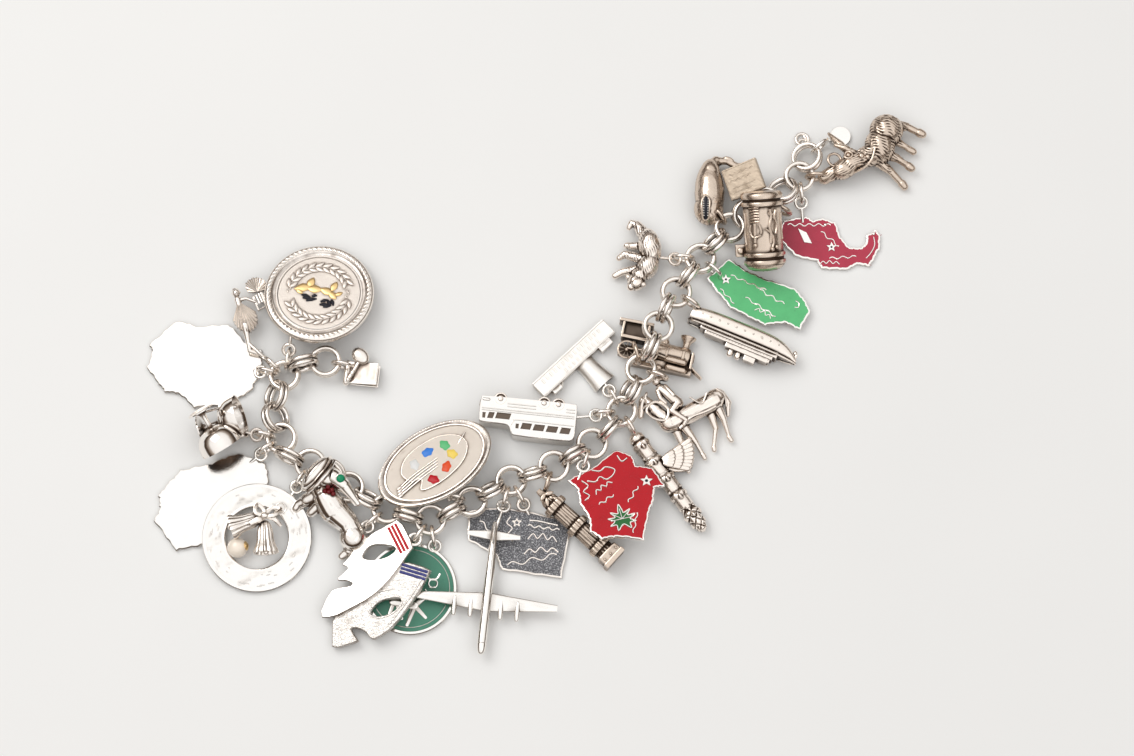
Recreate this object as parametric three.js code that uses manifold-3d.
// Charm bracelet: a double cable chain in silver, open and lying on a table, with the souvenir charms
// that its owner collected soldered or hung on it by jump rings. Millimetres, +Z up, standing on Z = 0.
import * as THREE from 'three';
import { mergeVertices } from 'three/addons/utils/BufferGeometryUtils.js';
import Module from 'manifold-3d';

const wasm = await Module();
wasm.setup();

// ---- Driving dimensions ----
const GAP = 0.3;               // air between two stretches of chain
const CLEARANCE = 0.12;        // air between a ring and the wire that it hooks round
const LINK_RADIUS = 3.05;      // a chain ring, to the middle of its wire
const WIRE = 0.55;             // half the thickness of the chain wire
const PAIR_OFFSET = 0.6;       // half the distance between the two rings of a pair
const FLAT_HEIGHT = 2.9;       // centre height of a pair that lies flat, lifted by its neighbours
const JUMP_RADIUS = 2.3;       // a jump ring, to the middle of its wire
const JUMP_WIRE = 0.45;
const JUMP_REACH = 0.85;       // from the chain wire to the centre of a jump ring
const BAIL_RADIUS = 1.3;       // the small ring soldered on a charm
const BAIL_WIRE = 0.4;
const PLATE = 1.0;             // thickness of a flat charm

const LINK_SIDES = 10;
const RING_SIDES = 8;
const ROUND_SIDES = 20;

const UP = new THREE.Vector3(0, 0, 1);

// ---- Finishes ----
const finish = (color, roughness, metalness) => () =>
  new THREE.MeshStandardMaterial({ color, roughness, metalness });
const bright = finish(0xd9d6d0, 0.22, 1);
const satin = finish(0xcfcac0, 0.4, 1);
const antique = finish(0xa3968a, 0.35, 1);
const oxidised = finish(0x5e5b58, 0.5, 0.9);
const redEnamel = finish(0xb8202e, 0.25, 0);
const pinkEnamel = finish(0xc04a5c, 0.25, 0);
const greenEnamel = finish(0x5cc07c, 0.25, 0);
const darkGreenEnamel = finish(0x2f7a5c, 0.25, 0);
const pearlFinish = finish(0xe8cfae, 0.3, 0);

// ---- Solids ----
function toSolid(geometry) {
  const bare = geometry.clone();
  bare.deleteAttribute('normal');
  bare.deleteAttribute('uv');
  const merged = mergeVertices(bare, 1e-4);
  const corners = Array.from(merged.index.array);
  const whole = [];
  for (let i = 0; i < corners.length; i += 3) {
    const [a, b, c] = corners.slice(i, i + 3);
    if (a !== b && b !== c && c !== a) whole.push(a, b, c);
  }
  return new wasm.Manifold(new wasm.Mesh({
    numProp: 3,
    vertProperties: new Float32Array(merged.attributes.position.array),
    triVerts: new Uint32Array(whole),
  }));
}

function toGeometry(solid) {
  const { vertProperties, triVerts, numProp } = solid.getMesh();
  const geometry = new THREE.BufferGeometry();
  geometry.setAttribute('position', new THREE.BufferAttribute(new Float32Array(vertProperties), numProp));
  geometry.setIndex(new THREE.BufferAttribute(new Uint32Array(triVerts), 1));
  geometry.computeVertexNormals();
  return geometry;
}

const shaped = (geometry, ...matrices) => {
  for (const matrix of matrices) geometry.applyMatrix4(matrix);
  return toSolid(geometry);
};
const join = (...solids) => solids.flat().reduce((whole, piece) => whole.add(piece));
const cut = (solid, ...tools) => tools.flat().reduce((rest, tool) => rest.subtract(tool), solid);
const moved = (solid, matrix) => shaped(toGeometry(solid), matrix);
const vec = (x, y, z = 0) => new THREE.Vector3(x, y, z);

// A place: turn about Z after leaning about X and Y, in degrees, then the move.
function at(x, y, z = 0, turn = 0, leanX = 0, leanY = 0) {
  const angles = [leanX, leanY, turn].map(THREE.MathUtils.degToRad);
  const rotation = new THREE.Euler(...angles, 'ZYX');
  return new THREE.Matrix4().makeRotationFromEuler(rotation).setPosition(x, y, z);
}

// Carries the +Y axis of a geometry onto a direction, at a point.
function along(direction, point = vec(0, 0, 0)) {
  const turn = new THREE.Quaternion().setFromUnitVectors(vec(0, 1, 0), direction.clone().normalize());
  return new THREE.Matrix4().makeRotationFromQuaternion(turn).setPosition(point);
}

const ball = ([x, y, z], [rx, ry, rz], turn = 0) => shaped(
  new THREE.SphereGeometry(1, 6, 4).rotateX(Math.PI / 2).scale(rx, ry, rz), at(x, y, z, turn));

function rod(from, to, radius, endRadius = radius, sides = 5) {
  const [a, b] = [vec(...from), vec(...to)];
  const axis = b.clone().sub(a);
  const geometry = new THREE.CylinderGeometry(endRadius, radius, axis.length(), sides);
  return shaped(geometry, along(axis, a.add(b).multiplyScalar(0.5)));
}

const bar = ([x, y, z], [w, d, h], turn = 0, leanX = 0, leanY = 0) =>
  shaped(new THREE.BoxGeometry(w, d, h), at(x, y, z, turn, leanX, leanY));

// Outlines may run either way round: the extrusion wants them anticlockwise.
function anticlockwise(rows) {
  const points = rows.map(([x, y]) => new THREE.Vector2(x, y));
  return THREE.ShapeUtils.isClockWise(points) ? points.reverse() : points;
}

function slab(outline, thickness, holes = []) {
  const shape = new THREE.Shape(anticlockwise(outline));
  shape.holes = holes.map((hole) => new THREE.Path(anticlockwise(hole)));
  return toSolid(new THREE.ExtrudeGeometry(shape, { depth: thickness, bevelEnabled: false }));
}

// Profile rows are [radius, height], from the axis round to the axis, turned about Z.
function turned(profile, sides = ROUND_SIDES) {
  const points = profile.map(([radius, height]) => new THREE.Vector2(radius, height));
  return shaped(new THREE.LatheGeometry(points, sides), new THREE.Matrix4().makeRotationX(Math.PI / 2));
}

function hoop(centre, axis, radius, wire, sides = RING_SIDES) {
  const geometry = new THREE.TorusGeometry(radius, wire, 4, sides).rotateX(Math.PI / 2);
  return shaped(geometry, along(axis, centre));
}

// ---- The chain ----
// The way the chain lies, as the points it passes, from the clasp end to the far end.
const CHAIN_ROUTE = [
  [-53.5, 3], [-59, 2.2], [-63, -1], [-64.5, -8], [-63, -13.5], [-62, -18], [-57, -20], [-52, -22.5],
  [-45.5, -27], [-36.5, -31.5], [-29, -32.6], [-22.5, -29.5], [-13.5, -24.5], [-3.5, -21], [5, -16],
  [10.5, -11], [15, -2], [18.5, 5], [22, 14.5], [28.5, 25], [36, 33.5], [44, 39.5], [51.5, 45], [54, 50.5],
];
const FIRST_ODD_FLAT = 5;      // before this station the even pairs lie flat, from here on the odd ones
const LAST_STATION = 38;
const FLAT_ROLL = 7;           // degrees that a flat pair leans
const UPRIGHT_ROLL = 78;       // degrees that a pair between two flat ones leans
const SPECIAL_ROLLS = { 3: 128, 4: 48, 8: 140, 34: 158, 36: 30, 38: 20 };
const LIFT = { station: 26.6, height: 5.5, spread: 1.9 };   // where the chain climbs over the engine

const route = new THREE.CatmullRomCurve3(CHAIN_ROUTE.map(([x, y]) => vec(x, y)), false, 'catmullrom', 0.5);
route.arcLengthDivisions = 2000;

function station(index) {
  const share = index / LAST_STATION;
  const centre = route.getPointAt(share);
  const ahead = route.getTangentAt(share);
  const flat = index < FIRST_ODD_FLAT ? index % 2 === 0 : index % 2 === 1;
  const lean = Math.sin(2.3 * index);
  const degrees = SPECIAL_ROLLS[index] ?? (flat ? FLAT_ROLL * Math.sign(lean) : UPRIGHT_ROLL + 14 * lean);
  const roll = THREE.MathUtils.degToRad(degrees);
  const side = UP.clone().cross(ahead);
  const axis = UP.clone().multiplyScalar(Math.cos(roll)).addScaledVector(side, Math.sin(roll));
  const reach = LINK_RADIUS * Math.abs(Math.sin(roll)) + PAIR_OFFSET * Math.abs(Math.cos(roll)) + WIRE;
  const away = (index - LIFT.station) / LIFT.spread;
  centre.z = Math.max(FLAT_HEIGHT, reach) + LIFT.height * Math.exp(-away * away);
  return { centre, axis };
}

// Two rings side by side as one ring with a six-sided section.
function linkPair(index, grow = 0) {
  const half = WIRE + grow;
  const top = PAIR_OFFSET + WIRE + grow;
  const section = [[half, -PAIR_OFFSET], [half, PAIR_OFFSET], [0, top], [-half, PAIR_OFFSET],
    [-half, -PAIR_OFFSET], [0, -top], [half, -PAIR_OFFSET]];
  const profile = section.map(([out, height]) => new THREE.Vector2(LINK_RADIUS + out, height));
  const { centre, axis } = station(index);
  return shaped(new THREE.LatheGeometry(profile, LINK_SIDES), along(axis, centre));
}

const CHAIN_STRETCHES = [
  { name: 'chain_1', first: 0, last: 5 },
  { name: 'chain_2', first: 6, last: 11 },
  { name: 'chain_3', first: 12, last: 16 },
  { name: 'chain_4', first: 17, last: 22 },
  { name: 'chain_5', first: 23, last: 27 },
  { name: 'chain_6', first: 28, last: 32 },
  { name: 'chain_7', first: 33, last: 38 },
];

function chainStretch({ first, last }) {
  const pairs = [];
  for (let index = first; index <= last; index += 1) pairs.push(linkPair(index));
  const whole = join(pairs);
  return last < LAST_STATION ? cut(whole, linkPair(last + 1, GAP)) : whole;
}

// ---- Hanging a charm on the chain ----
// The ring that leaves a flat pair of chain rings towards an eye, standing upright across their wire.
function ringTowards(index, eye) {
  const { centre } = station(index);
  const heading = eye.clone().sub(centre).setZ(0).normalize();
  const middle = centre.clone().addScaledVector(heading, LINK_RADIUS + JUMP_REACH);
  return { middle, heading, axis: UP.clone().cross(heading) };
}

function clearOfChain(solid, index) {
  const near = [index - 1, index, index + 1].filter((i) => i >= 0 && i <= LAST_STATION);
  return cut(solid, near.map((i) => linkPair(i, CLEARANCE)));
}

// A separate jump ring, and the bail on the charm that it carries.
function jumpRing(index, eye, grow = 0) {
  const { middle, axis } = ringTowards(index, eye);
  return hoop(middle, axis, JUMP_RADIUS, JUMP_WIRE + grow);
}

function bail(index, eye, high) {
  const { middle, heading, axis } = ringTowards(index, eye);
  const hook = middle.clone().addScaledVector(heading, 0.5);
  hook.z += high ? 1.2 : -1.2;
  const pull = eye.clone().sub(hook).normalize();
  const centre = hook.clone().addScaledVector(pull, BAIL_RADIUS);
  const loop = hoop(centre, pull.clone().cross(axis), BAIL_RADIUS, BAIL_WIRE);
  const foot = hook.clone().addScaledVector(pull, 2 * BAIL_RADIUS);
  const neck = rod(foot.toArray(), eye.toArray(), BAIL_WIRE);
  return cut(join(loop, neck), jumpRing(index, eye, CLEARANCE));
}

// A larger ring soldered to the charm itself and closed round the chain wire.
function solderedRing(index, eye) {
  const { middle, heading, axis } = ringTowards(index, eye);
  const loop = hoop(middle, axis, JUMP_RADIUS, JUMP_WIRE);
  const foot = middle.clone().addScaledVector(heading, JUMP_RADIUS);
  const neck = rod(foot.toArray(), eye.toArray(), JUMP_WIRE);
  return clearOfChain(join(loop, neck), index);
}

// ---- Flat charms ----
// Outlines of the map plates, each about its own middle.
const MAP_OUTLINES = {
  map_plain_a: [[-6.6, 9.8], [-1.5, 8.4], [5, 9], [9.2, 4.5], [12.7, 2.9], [12.7, -1.4], [10.6, -6],
    [5.4, -9.7], [-2.2, -10.1], [-5.7, -6.9], [-8.7, -6.6], [-10.3, -4.6], [-12.9, -1.1], [-11.8, 2.5],
    [-12.5, 4.4]],
  map_plain_b: [[-7.2, 7], [-9.8, 4.2], [-11.9, 1.4], [-11.4, -1.3], [-12.7, -4.3], [-7.5, -11],
    [-1.5, -9.5], [4.6, -3.4], [12.5, 4], [11.6, 8.5], [5.4, 11], [-1, 8.5]],
  map_dark: [[-11.2, 6.5], [-3.6, 7.4], [11.7, 4.3], [9.4, -8.4], [-3.6, -6.6], [-5, -3.4], [-11, 0]],
  map_red: [[1, 11.3], [4.5, 9.9], [5.3, 7.4], [8.8, 7], [11.7, 2.5], [9.3, 2.1], [9.1, -0.7],
    [7.9, -4.4], [6.8, -10.5], [1, -9.7], [-2.2, -10.3], [-4.8, -8.4], [-4.8, -5.6], [-7, -1.6],
    [-7.4, 1.7], [-9.6, 3.8], [-7.8, 5], [-4.6, 6.6]],
  map_green: [[-7.2, 8.6], [-3, 5.6], [0.9, 3.8], [7.4, 1.6], [9.4, -0.8], [10.8, -3.6], [8.4, -8.1],
    [5, -6.4], [0.6, -7], [-1.9, -5.7], [-7, -2.9], [-10.2, 1.2], [-12.1, 4]],
  map_pink: [[-10, 5.2], [-4.6, 6.2], [-3.1, 5.2], [-1.2, 5.8], [1.9, 4.8], [3, 1.3], [5, -1.1],
    [7.7, -1.1], [8.8, 0.1], [8.8, 1.7], [11, 3.1], [11.9, 1.7], [11.7, -1.1], [10, -4.2], [9.2, -5.4],
    [6.9, -4.8], [3.9, -6.2], [-1.5, -5.8], [-2.3, -4.2], [-7.2, -3], [-10.7, 0.9]],
};
const mapPlate = (name) => slab(MAP_OUTLINES[name], PLATE);

const MEDALLION = { radius: 12.2, thickness: 2, rim: 2.1, field: 0.55 };
function medallion() {
  const { radius, thickness, rim, field } = MEDALLION;
  const floor = thickness - field;
  return turned([[0, 0], [radius - 0.3, 0], [radius, 0.4], [radius, thickness - 0.4],
    [radius - 0.4, thickness], [radius - rim, thickness], [radius - rim - 0.2, floor], [0, floor]]);
}

const RING_DISC = { radius: 12, hole: 6.9, thickness: 0.7, eyeAt: 8.3, eye: 1.05 };
function ringDisc(eyeTurn) {
  const { radius, hole, thickness, eyeAt, eye } = RING_DISC;
  const band = turned([[hole, 0], [radius, 0], [radius, thickness], [hole, thickness], [hole, 0]], 24);
  const pierced = turned([[0, -1], [eye, -1], [eye, 2], [0, 2]], 8);
  const where = new THREE.Vector3(eyeAt, 0, 0).applyAxisAngle(UP, eyeTurn);
  return cut(band, moved(pierced, at(where.x, where.y)));
}

const PALETTE = { half: 13.6, halfWidth: 8.8, thickness: 1.3, rim: 1.5, field: 0.4 };
function paletteDisc() {
  const { half, halfWidth, thickness, rim, field } = PALETTE;
  const inner = 1 - rim / half;
  const round = turned([[0, 0], [0.97, 0], [1, 0.3], [1, thickness - 0.2], [0.98, thickness],
    [inner, thickness], [inner, thickness - field], [0, thickness - field]], 24);
  return moved(round, new THREE.Matrix4().makeScale(half, halfWidth, 1));
}

const ZODIAC = { radius: 10.2, thickness: 1.1 };
const zodiacDisc = () => turned([[0, 0], [ZODIAC.radius, 0], [ZODIAC.radius, ZODIAC.thickness],
  [0, ZODIAC.thickness]], 24);

// Two theatre masks, one over the other: each an outline with an eye cut through, about the lower chin.
const MASKS = {
  upper: {
    outline: [[-3, 7], [-0.5, 12.8], [1.6, 13.5], [4.2, 13.8], [4.6, 14.3], [3.4, 14.9], [0.6, 15.1],
      [3, 17.1], [3.6, 17.9], [1.9, 18.5], [3.7, 20.1], [4.7, 21.9], [8.4, 25.2], [12.7, 27.2], [14.8, 28.5],
      [18.2, 22.1], [16.9, 20.4], [15, 17.6], [12.2, 14], [8.6, 10.9], [4, 8.6], [0.5, 6.9]],
    eye: [[6.7, 20.6], [8.5, 22.8], [11, 23], [13.9, 21.9], [12.6, 20.5], [10.4, 19.7], [7.5, 19.9]],
  },
  lower: {
    outline: [[0, 0], [0, 2.7], [0, 7.5], [6.8, 12], [13.6, 17.8], [15.4, 19.2], [21.8, 17.1],
      [21.4, 16], [18.9, 11.6], [13.7, 4.6], [9.6, 1.9], [8.4, 2.3], [7.4, 3.8], [5.6, 4.6], [4.1, 4.6],
      [4.6, 3.6], [5.7, 2], [6, 1.7]],
    eye: [[8.4, 7.4], [10.7, 9.9], [15.4, 10.4], [13.7, 7.5]],
  },
  thickness: 1.5,
  step: 0.9,
};
function masks() {
  const { upper, lower, thickness, step } = MASKS;
  const over = moved(slab(upper.outline, thickness, [upper.eye]), at(0, 0, step));
  return join(over, slab(lower.outline, thickness, [lower.eye]));
}

const PLAQUE = { width: 8.4, depth: 7.2, thickness: 1.2 };
const plaque = () => bar([0, 0, PLAQUE.thickness / 2], [PLAQUE.width, PLAQUE.depth, PLAQUE.thickness]);

const TAG_RADIUS = 2.4;
const tag = () => turned([[0, 0], [TAG_RADIUS, 0], [TAG_RADIUS, 0.8], [0, 0.8]], 16);

// The clasp tongue: a strip folded back on itself, springing open, with a thumb ball.
const TONGUE = { length: 7.4, width: 5, thickness: 0.7, opening: 2.2, ball: 1.8 };
function claspTongue() {
  const { length, width, thickness, opening, ball: thumb } = TONGUE;
  const wedge = [[0, 0], [length, 0], [length, thickness], [thickness * 2, thickness * 1.3],
    [thickness * 2, thickness * 1.6], [length - 0.4, opening], [length - 0.4, opening + thickness],
    [0, thickness * 2.6]];
  const strip = moved(slab(wedge, width), at(0, width / 2, 0, 0, 90));
  const stalk = rod([1.6, 1, 1.4], [2.2, 4.6, 2.2], 0.6);
  return join(strip, stalk, ball([2.4, 5, 2.2], [thumb, thumb * 0.85, thumb * 0.8]));
}

// ---- Built charms ----
const CUP = [[0, 0], [2.7, 0], [2.7, 0.5], [0.7, 0.9], [0.6, 4.6], [2.6, 5.2], [4.3, 7], [4.9, 9.6],
  [4.3, 9.6], [3.6, 7.4], [2, 6.1], [0, 5.8]];
const CUP_PAIR = [{ turn: -58, lean: 110, x: 0.1, y: -0.9, z: 9.1 },
  { turn: 15, lean: 78, x: -0.5, y: -3.7, z: 2.9 }];
function cupPair() {
  const cup = turned(CUP, 12);
  const lain = CUP_PAIR.map(({ turn, lean, x, y, z }) => moved(cup, at(x, y, z, turn, 0, lean)));
  return join(lain);
}

// Two fluted wedding bells under a ribbon bow.
const BELL = [[0, 0], [2.4, 0], [2.7, 0.6], [1.9, 2.6], [1.6, 5.2], [1.05, 7], [0, 7.5]];
const BELL_HEIGHT = 4.8;
const BELL_PLACES = [{ x: -3.6, y: 0.6, turn: 199 }, { x: 4.3, y: -5.1, turn: -86 }];
function bells() {
  const bell = turned(BELL, 10);
  const hung = BELL_PLACES.map(({ x, y, turn }) => moved(bell, at(x, y, BELL_HEIGHT, turn, 0, -90)));
  const knot = [3.9, 2.9, 5];
  const ribbon = [rod(knot, [3.1, 5.2, 4.6], 0.9), rod(knot, [6.9, 4.3, 4.5], 0.9),
    rod(knot, [7.4, 1, 4.2], 0.6), rod(knot, [1.6, 1.6, 5.8], 0.7)];
  return join(hung, ribbon);
}

const PLANE = { length: 29, fuselage: 1.05, span: 31, tailSpan: 11.6 };
function aeroplane() {
  const { length, fuselage, span, tailSpan } = PLANE;
  const body = join(rod([0, -length + 3, 0], [0, -2, 0], fuselage, fuselage * 0.8, 8),
    ball([0, -length + 3, 0], [fuselage, 3, fuselage]), rod([0, -2, 0], [0, 0.4, 0.3], fuselage * 0.8, 0.45));
  const wing = moved(slab([[0, 2.2], [span / 2, 0.9], [span / 2, -0.4], [0, -2], [-span / 2, -0.4],
    [-span / 2, 0.9]], 0.7), at(0, -17.4, -0.3));
  const tail = moved(slab([[0, 1.1], [tailSpan / 2, 0.6], [tailSpan / 2, -0.5], [0, -1.2],
    [-tailSpan / 2, -0.5], [-tailSpan / 2, 0.6]], 0.6), at(0, -2.6, -0.3));
  const engines = [-6.9, -3.3, 3.3, 6.9].map((x) => rod([x, -16.6, -0.1], [x, -21, -0.1], 0.6, 0.45));
  const fin = bar([0, -1.6, 0.9], [0.5, 2.6, 1.8]);
  return join(body, wing, tail, fin, engines);
}

const TOWER = { length: 23, body: 2.1, foot: 5.6, band: 5 };
function tower() {
  const { length, body, foot, band } = TOWER;
  const parts = [rod([3, 0, 0], [length - 3, 0, 0], body * 0.85, body * 1.05, 8),
    rod([0, 0, 0], [3, 0, 0], 0.6, body * 0.9, 8)];
  for (const x of [4.5, 11, 17.5]) parts.push(rod([x, 0, 0], [x + 1.4, 0, 0], body * 1.3, body * 1.3, 8));
  parts.push(bar([length - 2, 0, 0], [2.4, band, band]), bar([length - 0.6, 0, 0], [1.2, foot, foot]));
  return join(parts);
}

const BUS = { length: 21.4, width: 5.4, height: 8.6, wheel: 1.5 };
function bus() {
  const { length, width, height, wheel } = BUS;
  const side = [[0, 0], [length, 0], [length, height * 0.62], [length * 0.72, height * 0.72],
    [length * 0.69, height * 0.96], [1, height], [0, height * 0.94]];
  const shell = slab(side, width);
  const wheels = [4.3, 7.5, 17].map((x) => moved(turned([[0, 0], [wheel, 0], [wheel, width + 0.4],
    [0, width + 0.4]], 8), at(x, 0.3, -0.2)));
  return join(shell, wheels);
}

const BANNER = { length: 21.6, width: 4.2, thickness: 2, skirt: 7.4 };
function banner() {
  const { length, width, thickness, skirt } = BANNER;
  const face = bar([0, 0, thickness / 2], [length, width, thickness]);
  const fold = [[-2.9, 0], [-2.6, 1], [0, 2.2], [2.6, 1], [2.9, 0], [2.2, 0], [0, 1.2], [-2.2, 0]];
  const drape = moved(slab(fold, skirt), at(1.2, -1.6, 0, 0, 90));
  return join(face, drape, bar([7.2, -2.4, 1], [3.4, 1.6, 2]));
}

const ENGINE = { boiler: 2.1, wheel: 1.9, cab: 6.4 };
function engine() {
  const { boiler, wheel, cab } = ENGINE;
  const parts = [rod([6, 0, boiler], [16.4, -0.4, boiler], boiler, boiler, 8),
    bar([3.2, 1.2, 2.2], [cab, 7.2, 4.4]), bar([3.2, 4.9, 2.3], [cab + 1.4, 0.8, 4.6]),
    bar([10, -3.3, 1.6], [14, 2.4, 3]), rod([14.6, 1.6, boiler], [14.9, 4.2, boiler], 0.8, 1.8, 8),
    rod([10, 1.6, boiler], [10, 3, boiler], 1, 0.8, 8), bar([18, -3.4, 1.6], [3, 2.2, 3], -20)];
  for (const x of [3, 8.3]) {
    const disc = turned([[0, 0], [wheel, 0], [wheel, 1.6], [0, 1.6]], 10);
    parts.push(moved(disc, at(x, -2.2, 2.7)));
  }
  parts.push(bar([13.6, -2.4, 3.9], [3.4, 1.8, 1.2]));
  return join(parts);
}

const SHIP = { length: 25.6, beam: 5.4, side: 3.4 };
function ship() {
  const { length, beam, side } = SHIP;
  const hull = [[0, -0.6], [1.4, 0], [length * 0.8, 0], [length, -side * 0.7], [length * 0.97, -side],
    [0.4, -side], [0, -side * 0.8]];
  const decks = [{ from: 3, to: length * 0.84, rise: 1.8, inset: 0.5 },
    { from: 10, to: length * 0.78, rise: 3.4, inset: 1 },
    { from: 15, to: length * 0.66, rise: 4.6, inset: 1.3 }];
  const parts = [slab(hull, beam)];
  for (const { from, to, rise, inset } of decks) {
    parts.push(bar([(from + to) / 2, 0.2 - side - rise / 2, beam / 2], [to - from, rise, beam - 2 * inset]));
  }
  return join(parts);
}

const BARREL = { length: 17.8, radius: 4.3, band: 4.7 };
function barrel() {
  const { length, radius, band } = BARREL;
  const rings = [1.5, 3.2, 14.6, 16.3];
  const profile = [[0, 0], [radius - 0.5, 0.2]];
  for (const low of rings) {
    profile.push([radius, low], [band, low + 0.2], [band, low + 0.9], [radius, low + 1.1]);
  }
  profile.push([radius, length], [0, length]);
  const lug = bar([-5.1, 0.8, 4.8], [2.6, 1.6, 2.8]);
  return join(turned(profile, 12), lug, bar([-3.6, 0.8, 4.8], [1.6, 1, 1.4]));
}

// ---- Figures: tapered limbs and rounded masses ----
// A limb row is [x, y, z, x, y, z, radius, end radius]; a mass row is [x, y, z, rx, ry, rz, turn].
const FIGURES = {
  dancer: {
    limbs: [[0, 0, 2, -1, 5.4, 2.2, 0.7, 1], [-3.2, 12.8, 2.4, -2.6, 10.4, 2.3, 0.7, 0.8],
      [-2.9, 11.4, 2.3, -1, 12, 2.3, 0.5, 0.45], [-1, 12, 2.3, 0.9, 11.2, 2.2, 0.45, 0.4],
      [0, 0, 2, 1.4, -0.4, 1.6, 0.6, 0.6]],
    masses: [[-3.4, 13.3, 2.4, 1, 1, 1, 0]],
  },
  hound: {
    limbs: [[-4.4, -3, 4.6, -2.8, -7.6, 3.6, 2.2, 2.8], [-2.8, -7.6, 3.6, 0.4, -11, 3.2, 2.8, 2.2],
      [0.4, -11, 3.2, 1.8, -14.4, 2.8, 2.1, 2.4], [1.8, -14.4, 2.6, 0, -18.4, 1.8, 1.6, 0.8],
      [-5, -4.4, 4, -10, -7.4, 2.6, 1.7, 0.7], [-1.2, -1.8, 7.6, 3.2, -6.2, 6.9, 1.8, 0.6]],
    masses: [[-2.6, -1.4, 6.8, 2.6, 2.4, 2.2, 0], [-5.2, -0.8, 7.7, 1.6, 4.2, 3.2, -39],
      [1.8, -14.4, 2.8, 2.6, 2.7, 2.5, 0]],
  },
  horse: {
    limbs: [[-12.6, -2, 2.4, -10, -4.6, 2.8, 0.9, 1.6], [-10, -4.6, 2.8, -7, -7.4, 2.6, 1.6, 2.2],
      [-5.6, -7.6, 2.6, 3, -2.4, 2.6, 2.1, 2.2], [3, -2.4, 2.6, 5, -6.2, 2, 1.3, 0.8],
      [5, -6.2, 2, 6.4, -10.6, 1.2, 0.8, 0.5], [2, -4, 2, 3.2, -8.2, 1.6, 1.1, 0.7],
      [3.2, -8.2, 1.6, 2.8, -13, 1.1, 0.7, 0.5], [-3.6, -8, 2.4, -1.2, -11.4, 1.6, 1, 0.7],
      [-1.2, -11.4, 1.6, 0.6, -14.8, 1.1, 0.7, 0.5], [-5.4, -9, 2.2, -3.4, -13.6, 1.4, 1, 0.6],
      [-3.4, -13.6, 1.4, -2.8, -17.8, 1, 0.6, 0.5], [4.6, -0.8, 2.4, 5.6, -5, 1.6, 0.8, 0.5],
      [-8.8, 0.2, 3.6, -5.2, -2.8, 3.6, 1.2, 1.4], [-5.2, -3, 3.8, -6.4, -5, 3.8, 0.9, 0.8],
      [-6.4, -5, 3.8, -2.8, -7.4, 3.6, 0.8, 0.6], [-13.4, -2.4, 2.4, -13.6, -5.4, 2, 0.9, 0.6],
      [-9.4, 0, 3.8, -8, -3.2, 3.8, 0.6, 0.5], [-7.6, -0.8, 3.7, -9.8, 1.8, 3.7, 0.8, 0.8]],
    masses: [[3.2, -1.6, 2.5, 2.6, 2, 1.9, 30], [-9.9, 1.9, 3.7, 1.1, 1.2, 1.1, 0]],
  },
  totem: {
    limbs: [[0, 0, 1.9, 14, -19.6, 1.9, 1.8, 1.7]],
    masses: [[1, -1.4, 2.1, 2, 2, 1.9, 0], [3.6, -5, 2.1, 2.2, 2.2, 2, 0],
      [6.2, -8.6, 2.1, 2.1, 2.1, 1.9, 0], [9, -12.6, 2, 2, 2, 1.8, 0], [12, -16.8, 2, 2.1, 2.1, 1.8, 0]],
  },
  bear: {
    limbs: [[0.8, 2.6, 3.2, -2.4, 6.4, 2.4, 1.9, 0.9], [-2.4, 6.4, 2.4, -3.4, 5.8, 2.2, 0.8, 0.6],
      [0, 1.4, 2.2, -4.4, 0.8, 1.4, 1.2, 0.8], [-1, -1.4, 2.4, -6, -1.6, 1.6, 1.2, 0.8],
      [-1.4, -3.6, 2.2, -6.8, -4.4, 1.2, 1.1, 0.8]],
    masses: [[0.9, 1.2, 3.4, 2.7, 4.4, 2.9, 10], [0.4, -3.2, 3.2, 2.5, 3.4, 2.7, -20],
      [-2.4, -6.8, 2.8, 2.4, 2.2, 2.1, 0]],
  },
  whale: {
    limbs: [[0, 5, 3, 2, 7.2, 2.8, 2, 1.2], [2, 7.2, 2.8, 6.6, 6, 2.4, 1.2, 0.7]],
    masses: [[0, 0, 3.3, 3.2, 7.2, 3.2, 0], [-0.2, -3.6, 3.1, 3, 3.8, 3, 0],
      [7.4, 5.4, 2.3, 2, 1.3, 0.8, -20]],
  },
  donkey: {
    limbs: [[6.4, 4.4, 3.4, 13, 3.2, 2.2, 1.5, 0.9], [5.4, 1.6, 3, 11.2, -1, 1.6, 1.4, 0.8],
      [3.4, -2, 3.6, 10.2, -4.8, 2.4, 1.4, 0.8], [2.4, -3.4, 3.2, 8.8, -8.8, 1.4, 1.4, 0.8],
      [2.4, -2, 3.6, -3.4, -4.4, 4, 2.8, 2.2], [-3.4, -4.6, 4, -9.4, -7.6, 2.6, 2, 1.2],
      [-3.2, -3, 4.2, -8, 3, 3.2, 0.9, 0.4], [-2.2, -2.2, 5, -6.6, -0.4, 5.6, 0.8, 0.5]],
    masses: [[5, 3.4, 3.8, 4, 3.8, 3.6, 0], [3.4, -0.4, 3.7, 3.6, 4.4, 3.4, 0],
      [-4.6, -5.4, 3.8, 3.2, 2.1, 2.1, 30]],
  },
};
function figure({ limbs, masses }) {
  const bones = limbs.map(([x, y, z, x2, y2, z2, r, r2]) => rod([x, y, z], [x2, y2, z2], r, r2));
  const bodies = masses.map(([x, y, z, rx, ry, rz, turn]) => ball([x, y, z], [rx, ry, rz], turn));
  return join(bones, bodies);
}

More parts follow.
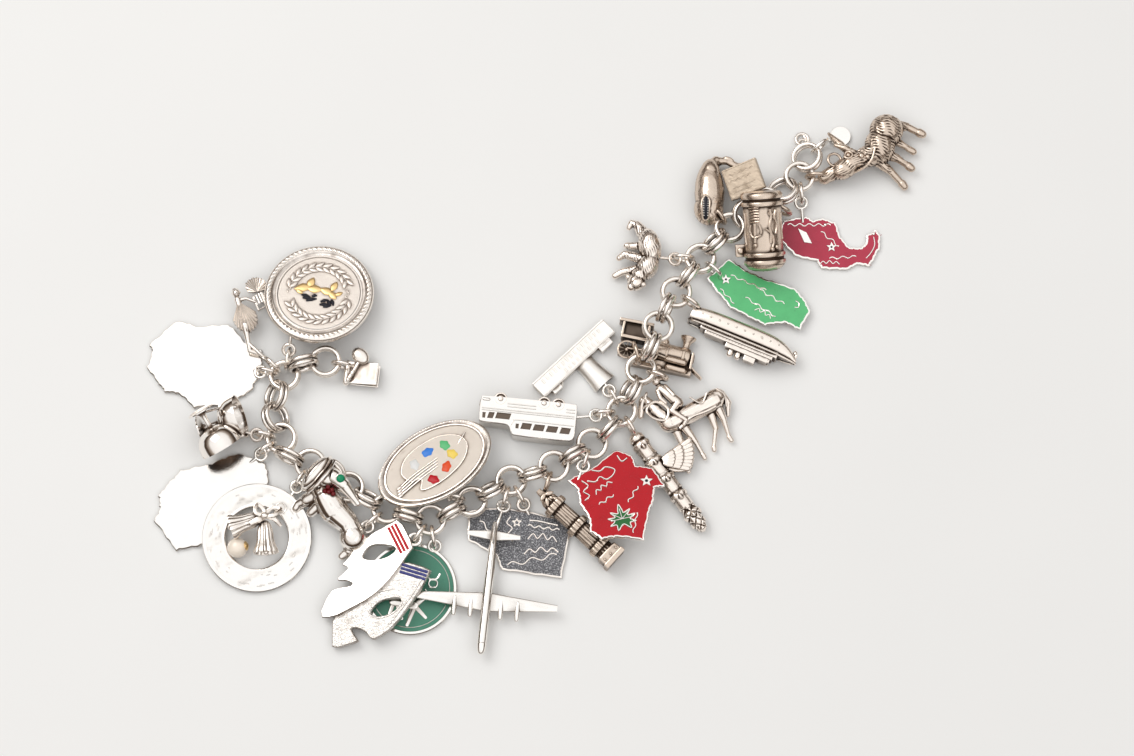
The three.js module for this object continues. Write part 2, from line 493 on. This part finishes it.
const WING = [[4.5, -4.5], [12.6, 2.2], [13.2, -1.4], [10, -5.8], [6.5, -8.5]];
const totemPole = () => join(figure(FIGURES.totem), moved(slab(WING, 1), at(0, 0, 2.5, 0, 0, -11)));
const SHELL = [[1.4, 13.4], [-1.6, 13.8], [-1.4, 15.8], [0.6, 16.8], [2.6, 16.2], [2.9, 14]];
const SKIRT = [[-3, 11.2], [-4.1, 6.8], [-1.8, 5], [0.6, 4.6], [2, 8], [-2.2, 11.2]];
const FRAME = {
  outline: [[0.1, 12.4], [2.1, 13.7], [3.6, 10.4], [1.6, 9.2]],
  hole: [[0.9, 12], [1.9, 12.7], [2.8, 10.7], [1.8, 10.1]],
};
function dancer() {
  const shell = moved(slab(SHELL, 1), at(0, 0, 1.7));
  const skirt = moved(slab(SKIRT, 1.6), at(0, 0, 1.4));
  const frame = moved(slab(FRAME.outline, 0.8, [FRAME.hole]), at(0, 0, 1.6));
  return join(figure(FIGURES.dancer), shell, skirt, frame);
}

const PEARL_RADIUS = 2.25;
const pearl = () => shaped(new THREE.SphereGeometry(PEARL_RADIUS, 10, 8));

// ---- Where each charm lies, and the chain station and eye that it hangs by ----
// place is [x, y, z, turn, lean about X, lean about Y]; eye is [x, y, z] where its ring or bail is soldered.
const CHARMS = [
  { name: 'clasp_tongue', make: claspTongue, paint: satin, place: [-49.2, 0.8, 0.6, -6],
    station: 0, eye: [-47.2, 1.8, 1.2], soldered: true },
  { name: 'medallion', make: medallion, paint: satin, place: [-55.1, 17.9, 3.2, 0, -14],
    station: 2, eye: [-61, 8, 6.4], high: true },
  { name: 'dancer', make: dancer, paint: antique, place: [-70.3, 5.4, 0.8, 0], station: 2,
    eye: [-70.4, 7, 2.9], soldered: true },
  { name: 'map_plain_a', make: () => mapPlate('map_plain_a'), paint: bright, place: [-80.4, 3.2],
    station: 2, eye: [-69.5, 1.4, 0.7] },
  { name: 'cup_pair', make: cupPair, paint: bright, place: [-80.4, -8.6, 0, 0], station: 5,
    eye: [-70.8, -12.9, 1.8] },
  { name: 'map_plain_b', make: () => mapPlate('map_plain_b'), paint: bright, place: [-78, -28.2],
    station: 5, eye: [-69.8, -19.4, 0.7] },
  { name: 'ring_disc', make: () => ringDisc(0.42), paint: satin, place: [-67.9, -36.4, 1.1, 28, 3.4],
    station: 7, eye: [-61, -27.6, 1.1] },
  { name: 'hound', make: () => figure(FIGURES.hound), paint: bright, place: [-49.5, -22.4, 0], station: 11,
    eye: [-46.4, -36.4, 2.4] },
  { name: 'palette_disc', make: paletteDisc, paint: satin, place: [-28.9, -20.7, 4.6, 32, -16],
    station: 15, eye: [-25.6, -27.4, 6.2], high: true },
  { name: 'masks', make: masks, paint: bright, place: [-50.8, -61.2, 0.46, 0, 0, -9.5], station: 13,
    eye: [-34.9, -39.7, 4.4], high: true },
  { name: 'zodiac_disc', make: zodiacDisc, paint: darkGreenEnamel, place: [-34.2, -47.6, 0],
    station: 13, eye: [-28.8, -39.3, 0.7] },
  { name: 'aeroplane', make: aeroplane, paint: bright, place: [-15.7, -33.6, 2.9, -6], station: 17,
    eye: [-15.5, -34.6, 3] },
  { name: 'map_dark', make: () => mapPlate('map_dark'), paint: oxidised, place: [-10.6, -36.8],
    station: 17, eye: [-8.4, -31, 0.7] },
  { name: 'tower', make: tower, paint: antique, place: [-6.4, -26.4, 4.3, -42, 0, 3.5], station: 19,
    eye: [-5.2, -27.4, 4.2], soldered: true },
  { name: 'map_red', make: () => mapPlate('map_red'), paint: redEnamel, place: [9.8, -28.2, 5, 0, -14],
    station: 21, eye: [2.4, -24.2, 4.6], high: true },
  { name: 'bus', make: bus, paint: bright, place: [2.4, -7.3, 0.3, 174], station: 23,
    eye: [0.6, -9.7, 2.6] },
  { name: 'banner_bar', make: banner, paint: satin, place: [1.5, 4, 0.5, 43.5], station: 23,
    eye: [7.4, 0.2, 1.4] },
  { name: 'engine', make: engine, paint: antique, place: [11.6, 7.6, 0, -12], station: 25,
    eye: [15, 5.4, 2.4], soldered: true },
  { name: 'horse_and_rider', make: () => figure(FIGURES.horse), paint: antique, place: [29.6, -3.6, 0],
    station: 25, eye: [20.2, -0.9, 3.8], soldered: true },
  { name: 'totem_pole', make: totemPole, paint: antique, place: [15.4, -14.4, 0], station: 23,
    eye: [15.6, -14.6, 2.4], soldered: true },
  { name: 'ship', make: ship, paint: antique, place: [28.4, 16, 0, -23], station: 29,
    eye: [30, 14.6, 2.6], soldered: true },
  { name: 'map_green', make: () => mapPlate('map_green'), paint: greenEnamel, place: [43.4, 18.6, 0.9, 0, -3],
    station: 31, eye: [34.4, 22.6, 1.3], soldered: true },
  { name: 'bear', make: () => figure(FIGURES.bear), paint: antique, place: [17.6, 28, 0], station: 31,
    eye: [20.6, 27, 3] },
  { name: 'whale', make: () => figure(FIGURES.whale), paint: antique, place: [32, 42.6, 0], station: 33,
    eye: [32.4, 38.6, 3], soldered: true },
  { name: 'plaque', make: plaque, paint: antique, place: [39.8, 44.6, 4.9, 17, 4, -22], station: 35,
    eye: [39.8, 44, 4.8], soldered: true },
  { name: 'barrel', make: barrel, paint: antique, place: [44.2, 23.4, 4.7, 4, -70], station: 35,
    eye: [45, 39.6, 8], soldered: true },
  { name: 'map_pink', make: () => mapPlate('map_pink'), paint: pinkEnamel, place: [58.4, 31, 0, 0],
    station: 37, eye: [53, 36, 0.7] },
  { name: 'donkey', make: () => figure(FIGURES.donkey), paint: antique, place: [67, 53, 0],
    station: 37, eye: [58.4, 46, 2.6], soldered: true },
  { name: 'end_tag', make: tag, paint: bright, place: [61.9, 56.2, 0], station: 38,
    eye: [59.4, 55.2, 0.6], soldered: true },
];

// Small rings that hold no charm of their own: through the pierced disc, and at the end of the chain.
const LOOSE_RINGS = [
  { name: 'bell_jump_ring', centre: [-63.7, -31.05, 2], axis: [-0.788, 0.616, 0], radius: 1.5, wire: 0.35 },
  { name: 'end_ring', centre: [53.2, 55.5, 0.56], axis: [0, 0.1, 1], radius: 1.4, wire: 0.4 },
];

function charmSolid({ name, make, place, station: index, eye, soldered, high }) {
  const body = moved(make(), at(...place));
  const point = vec(...eye);
  const fixing = soldered ? solderedRing(index, point) : clearOfChain(bail(index, point, high), index);
  return join(body, fixing);
}

const bracelet = new THREE.Group();
// Joins and cuts leave crumbs thinner than a hair beside a body: they are swept away.
const CRUMB = 0.5;
const swept = (solid) => join(solid.decompose().filter((piece) => piece.volume() > CRUMB));
function add(name, solid, paint) {
  const mesh = new THREE.Mesh(toGeometry(solid), paint());
  mesh.name = name;
  bracelet.add(mesh);
}

for (const stretch of CHAIN_STRETCHES) add(stretch.name, swept(chainStretch(stretch)), satin);
for (const charm of CHARMS) {
  add(charm.name, swept(charmSolid(charm)), charm.paint);
  if (charm.soldered) continue;
  const ring = clearOfChain(jumpRing(charm.station, vec(...charm.eye)), charm.station);
  add(`jump_ring_${charm.name}`, swept(ring), satin);
}
for (const { name, centre, axis, radius, wire } of LOOSE_RINGS) {
  add(name, hoop(vec(...centre), vec(...axis), radius, wire), satin);
}
add('wedding_bells', moved(bells(), at(-69.8, -35.4)), bright);
add('pearl', moved(pearl(), at(-72, -38.8, 2.35)), pearlFinish);

// The origin is under the middle of the whole thing, on the surface that it lies on.
const extent = new THREE.Box3().setFromObject(bracelet);
const middle = extent.getCenter(new THREE.Vector3());
bracelet.position.set(-middle.x, -middle.y, -extent.min.z);

export default bracelet;
